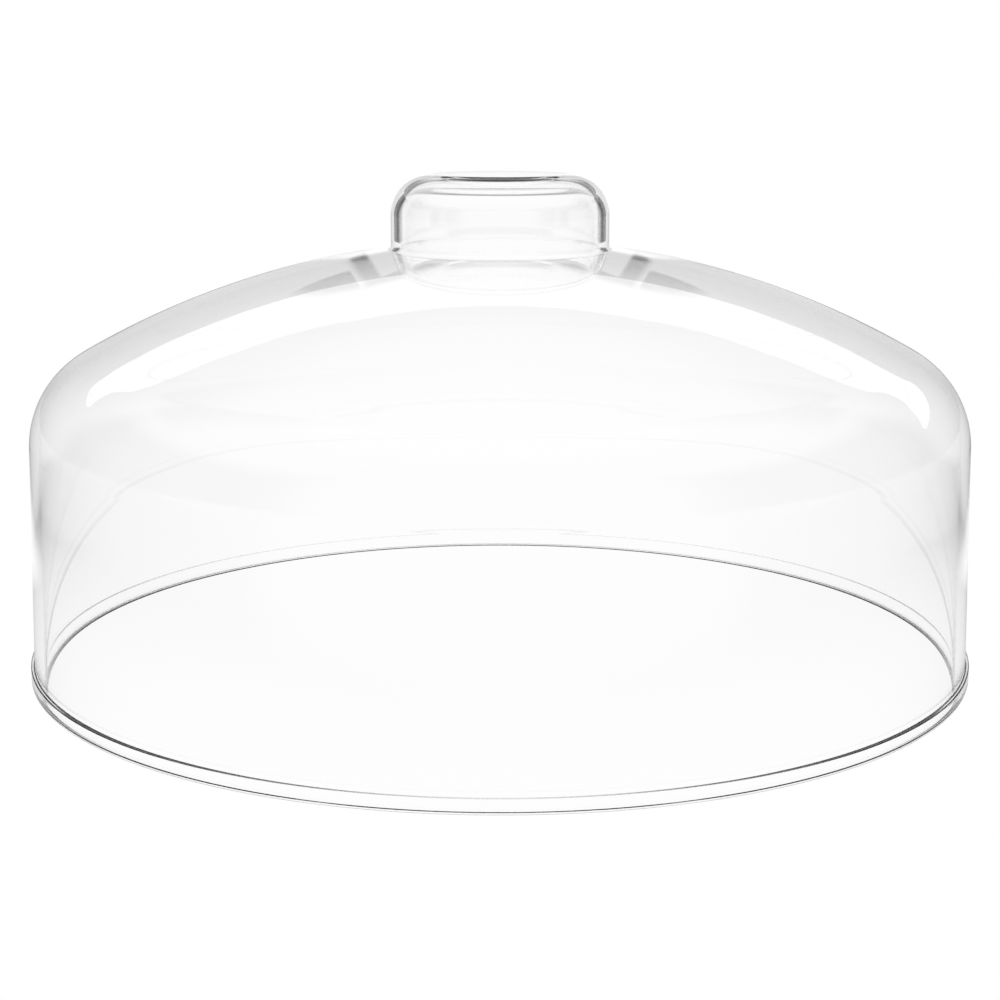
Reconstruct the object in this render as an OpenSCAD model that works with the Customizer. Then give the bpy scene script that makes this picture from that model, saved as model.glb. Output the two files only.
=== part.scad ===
// A clear moulded dome cover with a hollow knob and a rim band, all in one piece.
// It stands on its rim: the origin is in the middle of the rim's underside, with +Z up.
// It is a solid of revolution, so each outline is drawn with x as the radius and y as the height.

/* [Cover] */
// Diameter over the rim band, the widest place (mm)
rim_d = 302; // [240:1:420]
// Height from the rim's underside to the top of the knob (mm)
cover_h = 155; // [130:1:220]
// Thickness of the wall, the same all over (mm)
wall_t = 3; // [2:0.1:4]
// Draft of the side wall, which leans in as it rises (degrees)
draft_a = 1.4; // [0.5:0.1:4]
// Radius of the shoulder between the side wall and the crown (mm)
shoulder_r = 30; // [20:1:40]
// How far the middle of the crown stands above the top of the shoulder's round (mm)
crown_rise = 31; // [20:1:40]

/* [Knob] */
// Diameter of the knob (mm)
knob_d = 69; // [50:1:90]
// How far the knob stands above the middle of the crown (mm)
knob_h = 21; // [18:1:30]
// Radius round the knob's top edge (mm)
knob_edge_r = 13; // [6:1:14]
// Radius of the fillet between the knob and the crown (mm)
knob_root_r = 1.5; // [0.5:0.1:3]

/* [Rim] */
// Height of the rim band (mm)
rim_h = 4.5; // [3:0.1:8]
// How far the rim band stands proud of the wall's foot (mm)
rim_step = 1; // [0.8:0.1:3]
// Radius on the edges of the rim, and in the corner between its ledge and the wall (mm)
rim_edge_r = 0.4; // [0.2:0.1:0.6]

/* [Hidden] */
$fn = 180;

// How far an outline that cuts, or that another one covers, reaches past their common edge
OVER = 5;
// How far a round overlaps the line or arc that it runs into, so that the two cross and join
LAP = 0.002;

// Side wall: the radius at its foot, and the centre of the shoulder that it runs into
foot_r = rim_d / 2 - rim_step;
crown_z = cover_h - knob_h;
shoulder_z = crown_z - crown_rise - shoulder_r;
shoulder_c = [wall_x(shoulder_r, shoulder_z), shoulder_z];

// Crown: one arc, centred on the axis, through the middle of the crown and tangent to the shoulder
crown_r = (pow(shoulder_c.x, 2) + pow(crown_z - shoulder_z, 2) - pow(shoulder_r, 2)) / (2 * crown_rise);
crown_c = [0, crown_z - crown_r];
crown_from = angle_of(shoulder_c - crown_c);

// Knob: the centre of the round at its top, and of the fillet that touches its side and the crown
knob_r = knob_d / 2;
knob_edge_c = [knob_r - knob_edge_r, cover_h - knob_edge_r];
root_x = knob_r + knob_root_r;
root_c = crown_c + [root_x, sqrt(pow(crown_r + knob_root_r, 2) - pow(root_x, 2))];

function angle_of(v) = atan2(v.y, v.x);
function on_arc(centre, radius, angle) = centre + radius * [cos(angle), sin(angle)];
// Radius of the side wall at a height, moved in by an inset (or out by a negative one)
function wall_x(inset, z) = foot_r - inset / cos(draft_a) - z * tan(draft_a);

// Disc with its centre at a point
module disc(centre, radius) {
    translate(centre) circle(r = radius);
}

// Rectangle from the axis out to a radius, between two heights
module band(radius, from_z, to_z) {
    translate([0, from_z]) square([radius, to_z - from_z]);
}

// Side wall, shoulder and crown, filled in to the axis
module bowl_outline(inset, bottom_z) {
    polygon([
        [0, bottom_z],
        [wall_x(inset, bottom_z), bottom_z],
        on_arc(shoulder_c, shoulder_r - inset, draft_a),
        shoulder_c,
        [0, shoulder_z]
    ]);
    disc(shoulder_c, shoulder_r - inset + LAP);
    intersection() {
        disc(crown_c, crown_r - inset);
        polygon([
            [0, shoulder_z - OVER],
            [shoulder_c.x, shoulder_z - OVER],
            shoulder_c,
            on_arc(crown_c, 2 * crown_r, crown_from),
            on_arc(crown_c, 2 * crown_r, 90)
        ]);
    }
}

// Knob with its rounded top edge, filled in to the axis and down into the crown
module knob_outline(inset) {
    band(knob_r - inset, shoulder_z, knob_edge_c.y);
    band(knob_edge_c.x, shoulder_z, cover_h - inset);
    disc(knob_edge_c, knob_edge_r - inset);
}

// Fillet at the knob's root, filled in to the axis and down into the crown
module root_outline(inset) {
    difference() {
        polygon([
            [0, shoulder_z],
            on_arc(crown_c, crown_r - inset, angle_of(root_c - crown_c)),
            root_c,
            [0, root_c.y]
        ]);
        disc(root_c, knob_root_r + inset + LAP);
    }
}

// All that lies within the cover's outer surface moved in by an inset
module filled_outline(inset, bottom_z) {
    bowl_outline(inset, bottom_z);
    knob_outline(inset);
    root_outline(inset);
}

// Rim band with its outer edges rounded and a fillet between its ledge and the wall
module rim_outline() {
    edge_x = foot_r + rim_step - rim_edge_r;
    band(edge_x, 0, rim_h);
    band(edge_x + rim_edge_r, rim_edge_r, rim_h - rim_edge_r);
    disc([edge_x, rim_edge_r], rim_edge_r);
    disc([edge_x, rim_h - rim_edge_r], rim_edge_r);
    corner_c = [wall_x(-rim_edge_r, rim_h + rim_edge_r), rim_h + rim_edge_r];
    difference() {
        band(corner_c.x, 0, corner_c.y);
        disc(corner_c, rim_edge_r + LAP);
    }
}

// What rounding the rim's inner edge takes away
module inner_edge_outline() {
    edge_c = [wall_x(wall_t - rim_edge_r, rim_edge_r), rim_edge_r];
    difference() {
        band(edge_c.x, -OVER, edge_c.y);
        disc(edge_c, rim_edge_r + LAP);
    }
}

module cover_outline() {
    difference() {
        union() {
            filled_outline(0, 0);
            rim_outline();
        }
        filled_outline(wall_t, -OVER);
        inner_edge_outline();
    }
}

module dome_cover() {
    color([0.88, 0.93, 0.95, 0.35]) rotate_extrude() cover_outline();
}

dome_cover();
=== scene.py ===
"""A clear moulded dome cover with a hollow knob and a rim band, on a pale studio floor."""

import math

import bpy
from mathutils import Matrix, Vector


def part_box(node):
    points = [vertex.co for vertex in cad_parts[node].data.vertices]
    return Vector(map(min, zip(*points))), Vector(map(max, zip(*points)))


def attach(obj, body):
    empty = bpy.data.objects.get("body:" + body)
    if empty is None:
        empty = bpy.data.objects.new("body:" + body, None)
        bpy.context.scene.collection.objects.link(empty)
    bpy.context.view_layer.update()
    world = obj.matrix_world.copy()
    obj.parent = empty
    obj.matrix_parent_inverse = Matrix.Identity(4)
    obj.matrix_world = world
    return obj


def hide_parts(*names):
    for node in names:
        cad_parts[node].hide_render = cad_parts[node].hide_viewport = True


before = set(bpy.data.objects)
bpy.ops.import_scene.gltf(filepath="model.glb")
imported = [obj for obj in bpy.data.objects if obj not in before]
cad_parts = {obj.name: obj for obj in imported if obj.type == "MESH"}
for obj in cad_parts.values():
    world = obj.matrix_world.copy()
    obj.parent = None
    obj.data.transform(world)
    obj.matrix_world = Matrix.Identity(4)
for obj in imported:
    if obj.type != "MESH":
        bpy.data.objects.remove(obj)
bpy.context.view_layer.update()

MM = 0.001
LOWEST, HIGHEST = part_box("dome_cover")

# The cover's sizes, in metres. Its width and height come from the frame.
RIM_R = (HIGHEST.x - LOWEST.x) / 2
COVER_H = HIGHEST.z - LOWEST.z
WALL = 3 * MM
DRAFT = math.radians(1.4)
SHOULDER_R = 30 * MM
CROWN_RISE = 31 * MM
KNOB_R = 34.5 * MM
KNOB_H = 21 * MM
KNOB_EDGE_R = 13 * MM
KNOB_ROOT_R = 1.5 * MM
RIM_H = 4.5 * MM
RIM_STEP = 1 * MM
RIM_EDGE_R = 0.4 * MM

# Steps along the outline, and round the cover
ROUND_STEP = math.radians(3)
ROOT_STEP = math.radians(6)
CROWN_STEP = math.radians(1)
EDGE_STEP = math.radians(12)
END_GAP = 0.6 * MM
WALL_PIECES = 6
TURN_SEGMENTS = 320
WELD = 0.002 * MM

UP = math.radians(90)
FOOT_R = RIM_R - RIM_STEP


def wall_at(inset, z):
    """Radius of the side wall at a height, moved in by an inset."""
    return FOOT_R - inset / math.cos(DRAFT) - z * math.tan(DRAFT)


def angle_of(v):
    return math.atan2(v.y, v.x)


def on_arc(centre, radius, angle):
    return centre + radius * Vector((math.cos(angle), math.sin(angle)))


# Centres of the cover's rounds, as (radius, height), and the angles where the crown meets its neighbours
CROWN_Z = COVER_H - KNOB_H
SHOULDER_Z = CROWN_Z - CROWN_RISE - SHOULDER_R
SHOULDER_C = Vector((wall_at(SHOULDER_R, SHOULDER_Z), SHOULDER_Z))
CROWN_R = (SHOULDER_C.x**2 + (CROWN_Z - SHOULDER_Z) ** 2 - SHOULDER_R**2) / (2 * CROWN_RISE)
CROWN_C = Vector((0, CROWN_Z - CROWN_R))
CROWN_FROM = angle_of(SHOULDER_C - CROWN_C)
KNOB_EDGE_C = Vector((KNOB_R - KNOB_EDGE_R, COVER_H - KNOB_EDGE_R))
ROOT_X = KNOB_R + KNOB_ROOT_R
ROOT_C = CROWN_C + Vector((ROOT_X, math.sqrt((CROWN_R + KNOB_ROOT_R) ** 2 - ROOT_X**2)))
ROOT_TO = angle_of(ROOT_C - CROWN_C)


def arc(centre, radius, start, end, step):
    """Points along an arc, both ends in, in equal steps no longer than step."""
    count = max(1, math.ceil(abs(end - start) / step))
    return [on_arc(centre, radius, start + (end - start) * i / count) for i in range(count + 1)]


def run(start, end, pieces=1):
    """Points along a straight stretch, with one close to each end to hold its shading flat."""
    along = (end - start).normalized() * END_GAP
    first, last = start + along, end - along
    return [first.lerp(last, i / pieces) for i in range(pieces + 1)]


def skin(inset):
    """The cover's outer surface moved in by an inset, from the axis to the end of the shoulder."""
    top = Vector((0, COVER_H - inset))
    edge = arc(KNOB_EDGE_C, KNOB_EDGE_R - inset, UP, 0, ROUND_STEP)
    root = arc(ROOT_C, KNOB_ROOT_R + inset, 2 * UP, 2 * UP + ROOT_TO, ROOT_STEP)
    crown = arc(CROWN_C, CROWN_R - inset, ROOT_TO, CROWN_FROM, CROWN_STEP)
    shoulder = arc(SHOULDER_C, SHOULDER_R - inset, CROWN_FROM, DRAFT, ROUND_STEP)
    return [
        top,
        edge[0] + Vector((-END_GAP, 0)),
        *edge,
        *run(edge[-1], root[0]),
        *root,
        *crown[1:],
        *shoulder[1:],
    ]


def rim():
    """The foot of the wall: round the rim band and its underside, from the outer wall to the inner."""
    corner_c = Vector((wall_at(-RIM_EDGE_R, RIM_H + RIM_EDGE_R), RIM_H + RIM_EDGE_R))
    corner = arc(corner_c, RIM_EDGE_R, 2 * UP + DRAFT, 3 * UP, EDGE_STEP)
    ledge = arc(Vector((RIM_R - RIM_EDGE_R, RIM_H - RIM_EDGE_R)), RIM_EDGE_R, UP, 0, EDGE_STEP)
    foot = arc(Vector((RIM_R - RIM_EDGE_R, RIM_EDGE_R)), RIM_EDGE_R, 0, -UP, EDGE_STEP)
    inner_c = Vector((wall_at(WALL - RIM_EDGE_R, RIM_EDGE_R), RIM_EDGE_R))
    inner = arc(inner_c, RIM_EDGE_R, -UP, DRAFT - 2 * UP, EDGE_STEP)
    return [*corner, *ledge, *run(ledge[-1], foot[0]), *foot, *run(foot[-1], inner[0]), *inner]


def outline():
    """The whole section of the wall, from the knob's top round the rim to the knob's underside."""
    outer, foot, inner = skin(0), rim(), skin(WALL)[::-1]
    outer_wall = run(outer[-1], foot[0], WALL_PIECES)
    inner_wall = run(foot[-1], inner[0], WALL_PIECES)
    return [*outer, *outer_wall, *foot, *inner_wall, *inner]


class Value:
    """A node's output, with arithmetic that adds Math nodes."""

    def __init__(self, graph, socket):
        self.graph = graph
        self.socket = socket

    def _math(self, operation, first, second):
        return self.graph.add("ShaderNodeMath", {"operation": operation}, {0: first, 1: second})

    def __add__(self, other):
        return self._math("ADD", self, other)

    def __radd__(self, other):
        return self._math("ADD", other, self)

    def __sub__(self, other):
        return self._math("SUBTRACT", self, other)

    def __rsub__(self, other):
        return self._math("SUBTRACT", other, self)

    def __mul__(self, other):
        return self._math("MULTIPLY", self, other)

    def __rmul__(self, other):
        return self._math("MULTIPLY", other, self)

    def __truediv__(self, other):
        return self._math("DIVIDE", self, other)


class Graph:
    """A node tree that is written as expressions."""

    def __init__(self, tree):
        self.tree = tree

    def add(self, kind, settings=None, values=None, output=0):
        """Adds a node, then its settings, then its sockets' values or links, and returns one output."""
        node = self.tree.nodes.new(kind)
        for name, setting in (settings or {}).items():
            setattr(node, name, setting)
        for name, value in (values or {}).items():
            if isinstance(value, Value):
                self.tree.links.new(value.socket, node.inputs[name])
            else:
                node.inputs[name].default_value = value
        return Value(self, node.outputs[output])

    def step(self, value, start, end, curve="SMOOTHSTEP"):
        """0 up to start, 1 from end on, and a smooth or straight rise between."""
        values = {"Value": value, "From Min": start, "From Max": end}
        return self.add("ShaderNodeMapRange", {"interpolation_type": curve}, values)

    def most(self, first, *others):
        for other in others:
            first = self.add("ShaderNodeMath", {"operation": "MAXIMUM"}, {0: first, 1: other})
        return first

    def size(self, value):
        return self.add("ShaderNodeMath", {"operation": "ABSOLUTE"}, {0: value})

    def length(self, across, along):
        return self.add("ShaderNodeMath", {"operation": "SQRT"}, {0: across * across + along * along})


def turning_tree():
    """A tree that turns an outline round the Z axis: its points are the rows of a grid wrapped round."""
    tree = bpy.data.node_groups.new("turned_moulding", "GeometryNodeTree")
    tree.interface.new_socket("Outline", in_out="INPUT", socket_type="NodeSocketGeometry")
    tree.interface.new_socket("Segments", in_out="INPUT", socket_type="NodeSocketInt")
    tree.interface.new_socket("Weld", in_out="INPUT", socket_type="NodeSocketFloat")
    tree.interface.new_socket("Material", in_out="INPUT", socket_type="NodeSocketMaterial")
    tree.interface.new_socket("Moulding", in_out="OUTPUT", socket_type="NodeSocketGeometry")
    graph = Graph(tree)
    given = tree.nodes.new("NodeGroupInput")
    outline_in, segments, weld, material = [Value(graph, socket) for socket in given.outputs[:4]]
    rows = graph.add("GeometryNodeAttributeDomainSize", values={"Geometry": outline_in})
    columns = segments + 1
    grid = graph.add("GeometryNodeMeshGrid", values={"Vertices X": rows, "Vertices Y": columns})
    index = graph.add("GeometryNodeInputIndex")
    row = graph.add("ShaderNodeMath", {"operation": "FLOOR"}, {0: (index + 0.5) / columns})
    column = index - row * columns
    point = graph.add(
        "GeometryNodeSampleIndex",
        {"data_type": "FLOAT_VECTOR"},
        {"Geometry": outline_in, "Value": graph.add("GeometryNodeInputPosition"), "Index": row},
    )
    place = graph.add(
        "ShaderNodeVectorRotate",
        {"rotation_type": "Z_AXIS"},
        {"Vector": point, "Angle": column / segments * (2 * math.pi)},
    )
    wrapped = graph.add("GeometryNodeSetPosition", values={"Geometry": grid, "Position": place})
    welded = graph.add("GeometryNodeMergeByDistance", values={"Geometry": wrapped, "Distance": weld})
    smooth = graph.add("GeometryNodeSetShadeSmooth", values={"Geometry": welded, "Shade Smooth": True})
    real = graph.add("GeometryNodeRealizeInstances", values={"Geometry": smooth})
    done = graph.add("GeometryNodeSetMaterial", values={"Geometry": real, "Material": material})
    tree.links.new(done.socket, tree.nodes.new("NodeGroupOutput").inputs[0])
    return tree


def turned_piece(name, points, segments, material):
    """A closed piece turned from an outline in the XZ plane that starts and ends on the axis."""
    line = bpy.data.meshes.new(name + "_outline")
    count = len(points)
    line.from_pydata([(p.x, 0, p.y) for p in points], [(i, i + 1) for i in range(count - 1)], [])
    holder = bpy.data.objects.new(name + "_outline", line)
    bpy.context.scene.collection.objects.link(holder)
    modifier = holder.modifiers.new("turn", "NODES")
    modifier.node_group = turning_tree()
    sockets = {item.name: item.identifier for item in modifier.node_group.interface.items_tree}
    modifier[sockets["Segments"]] = segments
    modifier[sockets["Weld"]] = WELD
    modifier[sockets["Material"]] = material
    bpy.context.view_layer.update()
    depsgraph = bpy.context.evaluated_depsgraph_get()
    mesh = bpy.data.meshes.new_from_object(holder.evaluated_get(depsgraph), depsgraph=depsgraph)
    mesh.name = name
    holder.modifiers.remove(modifier)
    bpy.data.objects.remove(holder)
    piece = bpy.data.objects.new(name, mesh)
    bpy.context.scene.collection.objects.link(piece)
    return piece


def clear_plastic():
    """Clear, glossy moulded plastic, with faint waviness from the mould and a trace of haze."""
    polish, haze_depth = 0.004, 0.008
    material = bpy.data.materials.new("clear_plastic")
    material.use_nodes = True
    tree = material.node_tree
    shader = tree.nodes["Principled BSDF"]
    graph = Graph(tree)
    place = graph.add("ShaderNodeTexCoord", output="Object")
    wave = graph.add("ShaderNodeTexNoise", values={"Vector": place, "Scale": 18.0, "Detail": 1.0})
    haze = graph.add("ShaderNodeTexNoise", values={"Vector": place, "Scale": 60.0, "Detail": 4.0})
    roughness = polish + haze * haze_depth
    tree.links.new(roughness.socket, shader.inputs["Roughness"])
    bump = graph.add("ShaderNodeBump", values={"Height": wave, "Strength": 0.05, "Distance": 0.2 * MM})
    tree.links.new(bump.socket, shader.inputs["Normal"])
    shader.inputs["Base Color"].default_value = (1, 1, 1, 1)
    shader.inputs["Transmission Weight"].default_value = 1
    shader.inputs["IOR"].default_value = 1.49
    return material


def glow(name, light):
    """A material that gives off white light: one level, or a function of the place that gives it."""
    material = bpy.data.materials.new(name)
    material.use_nodes = True
    tree = material.node_tree
    tree.nodes.clear()
    graph = Graph(tree)
    if callable(light):
        place = graph.add("ShaderNodeTexCoord", output="Object")
        x, y, z = [graph.add("ShaderNodeSeparateXYZ", values={0: place}, output=i) for i in range(3)]
        light = light(graph, x, y, z)
    shine = graph.add("ShaderNodeEmission", values={"Strength": light})
    tree.links.new(shine.socket, tree.nodes.new("ShaderNodeOutputMaterial").inputs["Surface"])
    return material


def studio_piece(name, points, faces, light, seen_by):
    """A glowing surface of the studio that only some kinds of ray see."""
    mesh = bpy.data.meshes.new(name)
    mesh.from_pydata(points, [], faces)
    mesh.materials.append(glow(name, light))
    piece = bpy.data.objects.new(name, mesh)
    bpy.context.scene.collection.objects.link(piece)
    piece.visible_camera = "camera" in seen_by
    piece.visible_glossy = "glossy" in seen_by
    piece.visible_transmission = "transmission" in seen_by
    piece.visible_diffuse = False
    piece.visible_shadow = False
    return piece


def ring_points(radius, z, count):
    turn = 2 * math.pi / count
    return [(radius * math.sin(turn * i), radius * math.cos(turn * i), z) for i in range(count)]


def flat_disc(name, radius, z, light, seen_by, count=128):
    face = tuple(range(count))[::-1]
    return studio_piece(name, ring_points(radius, z, count), [face], light, seen_by)


def sky(name, radius, lowest, light, seen_by, count=96, rows=24):
    """A dome over the whole studio, from an elevation in degrees up to the top."""
    rises = [math.radians(lowest + (90 - lowest) * row / rows) for row in range(rows)]
    points = []
    for rise in rises:
        points += ring_points(radius * math.cos(rise), radius * math.sin(rise), count)
    faces = []
    for low in range(0, (rows - 1) * count, count):
        for i in range(count):
            after = (i + 1) % count
            faces.append((low + i, low + after, low + count + after, low + count + i))
    top = (rows - 1) * count
    points.append((0, 0, radius))
    faces += [(top + i, top + (i + 1) % count, top + count) for i in range(count)]
    return studio_piece(name, points, faces, light, seen_by)


def painted_contact_shadow_ring(name, inner, outer_behind, outer_before, z, light, seen_by, count=256):
    """A flat ring under the rim for a painted contact shadow, which widens from behind to the front."""
    points = ring_points(inner, z, count)
    for x, y, _ in ring_points(1, 0, count):
        outer = (outer_before + outer_behind - (outer_before - outer_behind) * y) / 2
        points.append((outer * x, outer * y, z))
    faces = [(i, (i + 1) % count, count + (i + 1) % count, count + i) for i in range(count)]
    return studio_piece(name, points, faces, light, seen_by)


def round_flag(name, radius, bottom, top, reach, light, seen_by, count=96):
    """An upright strip curved round behind the knob, to an angle of reach degrees on each side."""
    angles = [math.radians(reach * (2 * i / count - 1)) for i in range(count + 1)]
    points = [(radius * math.sin(a), radius * math.cos(a), z) for z in (bottom, top) for a in angles]
    faces = [(i, i + 1, count + 2 + i, count + 1 + i) for i in range(count)]
    return studio_piece(name, points, faces, light, seen_by)


def crown_glow(name, inner, outer, light, seen_by, count=64, rows=3):
    """A light within the crown's wall behind the knob, for the light that is caught in the wall."""
    radius = CROWN_R - WALL / 2
    turns = [math.pi * i / count for i in range(count + 1)]
    points = []
    for row in range(rows + 1):
        r = inner + (outer - inner) * row / rows
        z = CROWN_C.y + math.sqrt(radius**2 - r**2)
        points += [(r * math.cos(a), r * math.sin(a), z) for a in turns]
    faces = []
    for low in range(0, rows * (count + 1), count + 1):
        high = low + count + 1
        faces += [(low + i, low + i + 1, high + i + 1, high + i) for i in range(count)]
    return studio_piece(name, points, faces, light, seen_by)


# Levels of light in the studio, where 1 is white. In them ahead is 1 straight behind the cover, 0 at its
# sides and -1 in front of it, and places are in metres.


def room_level(graph, x, y, z):
    """Light from the room: palest low down behind the cover, darker at the sides, with a pale ceiling."""
    side, front = 0.18, 0.65
    back_gain, back_loss = 0.56, 0.6
    cornice, upper_gain = 0.45, 0.2
    ahead = y / graph.length(x, y)
    behind = graph.step(ahead, 0.87, 0.985)
    before = graph.step(ahead, -0.45, -0.85)
    straight = graph.step(ahead, 0.985, 0.993) * graph.step(z, 0.75, 0.45)
    wall = side + behind * (back_gain - graph.step(z, 0.1, 1.1, "LINEAR") * back_loss)
    wall = wall + before * (front - wall)
    upper = cornice + graph.step(z, 2.05, 2.4) * upper_gain + graph.step(z, 2.5, 2.8) * upper_gain
    rise = graph.step(z, 1.3, 1.9)
    return graph.most(wall + rise * (upper - wall), straight)


def table_level(graph, x, y, z):
    """Light from the table: white behind the cover and under it, and greyer to the sides."""
    side, near_gain, front = 0.4, 0.3, 0.7
    away = graph.length(x, y)
    behind = graph.step(graph.size(x), 0.30, 0.21) * graph.step(y, 0.0, 0.12)
    near = graph.step(away, 0.30, 0.14) * near_gain
    under = graph.step(away, RIM_R, RIM_R - 4 * MM)
    before = graph.step(y, -0.1, -0.35) * front
    return graph.most(side + near, behind, before, under)


def through_level(graph, x, y, z):
    """Light that shines through the cover: white near it, behind and above, and grey to the sides."""
    side_foot, side_loss, front = 0.45, 0.27, 0.8
    away = graph.length(x, y)
    ahead = y / away
    near = graph.step(away, 0.45, 0.2)
    side = side_foot - graph.step(z, 0.0, 0.1) * side_loss
    behind = graph.step(ahead, 0.4, 0.65)
    above = graph.step(z, 1.3, 2.0)
    before = graph.step(ahead, -0.5, -0.8) * front
    return graph.most(side, behind, above, near, before)


def arch_level(inner, width, foot, height):
    """A level for a flag: a dark arch with soft edges, darkest where reach is 1, and white elsewhere."""
    depth = 0.88

    def level(graph, x, y, z):
        side = graph.most(graph.size(x) - inner, 0.0) / width
        rise = graph.most(z - foot, 0.0) / height
        reach = graph.length(side, rise)
        return 1.0 - graph.step(reach, 0.4, 0.7) * graph.step(reach, 1.7, 1.3) * depth

    return level


def white_world():
    """Even white all round, for what no surface of the studio covers."""
    world = bpy.data.worlds.new("studio")
    bpy.context.scene.world = world
    world.use_nodes = True
    world.node_tree.nodes["Background"].inputs["Color"].default_value = (1, 1, 1, 1)


def camera():
    """A camera in front of the cover and a little over it, which looks down at it."""
    data = bpy.data.cameras.new("camera")
    data.sensor_width = 36
    data.lens = 70.2
    view = bpy.data.objects.new("camera", data)
    bpy.context.scene.collection.objects.link(view)
    view.location = (0, -0.6211, 0.1839)
    look_down = 12.16
    view.rotation_euler = (math.radians(90 - look_down), 0, 0)
    bpy.context.scene.camera = view


# Outline of the softbox, in mm across and up: its right half's lower and upper edges from the middle
# out, and its two tips from the upper edge round to the lower
LOWER_EDGE = [
    (0, 727), (200, 722), (310, 711), (425, 690),
    (540, 664), (600, 641), (726, 605), (807, 557),
]
UPPER_EDGE = [
    (0, 1206), (279, 1200), (358, 1193), (430, 1166), (584, 1134),
    (668, 1122), (740, 1090), (822, 1065), (889, 1010),
]
LEFT_TIP = [(-984, 870), (-1400, 815), (-1370, 760), (-980, 655)]
RIGHT_TIP = [(984, 890), (1480, 823), (1900, 640), (1850, 560), (1300, 540), (980, 545)]
SOFTBOX = [
    *UPPER_EDGE,
    *RIGHT_TIP,
    *LOWER_EDGE[::-1],
    *[(-x, z) for x, z in LOWER_EDGE[1:-1]],
    *LEFT_TIP[::-1],
    *[(-x, z) for x, z in UPPER_EDGE[:0:-1]],
]
SOFTBOX_Y = 1.2
SOFTBOX_LIGHT = 1.02

# The studio's sizes, in metres. Its flat layers lie a hair apart, just under the rim.
ROOM_R = 3.0
FLOOR_R = 30.0
BACKDROP_R = 40.0
BACKDROP_FROM = -60
CONTACT_SHADOW_Z = -0.03 * MM
FLOOR_Z = -0.05 * MM
FLOOR_THROUGH_Z = -0.055 * MM
TABLE_Z = -0.06 * MM

# Surfaces of the studio are seen straight on, through the cover, or as it mirrors them
STRAIGHT = {"camera"}
THROUGH = {"transmission"}
MIRRORED = {"glossy"}
WHITE = 1.0
BLACK = 0.0

# The most times that light is bent or mirrored. What is caught in the knob's top for longer stays dark.
BOUNCES = 12

camera()
cover = turned_piece("dome_cover_moulding", outline(), TURN_SEGMENTS, clear_plastic())
cover.visible_shadow = False
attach(cover, "root")
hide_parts("dome_cover")

white_world()
sky("backdrop", BACKDROP_R, BACKDROP_FROM, WHITE, STRAIGHT)
sky("room", ROOM_R, 0, room_level, MIRRORED)
flat_disc("floor", FLOOR_R, FLOOR_Z, WHITE, STRAIGHT)
flat_disc("floor_through", ROOM_R, FLOOR_THROUGH_Z, through_level, THROUGH)
sky("room_through", ROOM_R, 0, through_level, THROUGH)
flat_disc("table", ROOM_R, TABLE_Z, table_level, MIRRORED)
# Painted shadow: a black ring under the rim, seen only through and in the cover, stands in for the shade
# where the rim meets the floor
painted_contact_shadow_ring(
    "contact",
    inner=RIM_R - 4.8 * MM,
    outer_behind=RIM_R - 3.4 * MM,
    outer_before=RIM_R - 1.4 * MM,
    z=CONTACT_SHADOW_Z,
    light=BLACK,
    seen_by=THROUGH | MIRRORED,
)
softbox_points = [(x * MM, SOFTBOX_Y, z * MM) for x, z in SOFTBOX]
softbox_face = tuple(range(len(SOFTBOX)))
studio_piece("softbox", softbox_points, [softbox_face], SOFTBOX_LIGHT, MIRRORED)

# Two flags close behind the knob draw its dark sides and top, and a light clears the crown at its foot
posts = arch_level(inner=KNOB_R + 7.5 * MM, width=4.9 * MM, foot=COVER_H - 3 * MM, height=20 * MM)
round_flag(
    "posts_flag",
    radius=KNOB_R + 15.5 * MM,
    bottom=CROWN_Z - 2 * MM,
    top=COVER_H + 3 * MM,
    reach=90,
    light=posts,
    seen_by=THROUGH,
)
beam = arch_level(inner=KNOB_R + 16.2 * MM, width=22.2 * MM, foot=COVER_H + 1 * MM, height=26 * MM)
round_flag(
    "beam_flag",
    radius=KNOB_R + 65.5 * MM,
    bottom=COVER_H + 6 * MM,
    top=COVER_H + 51 * MM,
    reach=60,
    light=beam,
    seen_by=THROUGH,
)
crown_glow("root_glow", KNOB_R + 2 * MM, KNOB_R + 8.5 * MM, WHITE, MIRRORED)

scene = bpy.context.scene
scene.view_settings.view_transform = "Standard"
scene.cycles.use_denoising = True
scene.cycles.max_bounces = BOUNCES
scene.cycles.transmission_bounces = BOUNCES
scene.cycles.glossy_bounces = BOUNCES
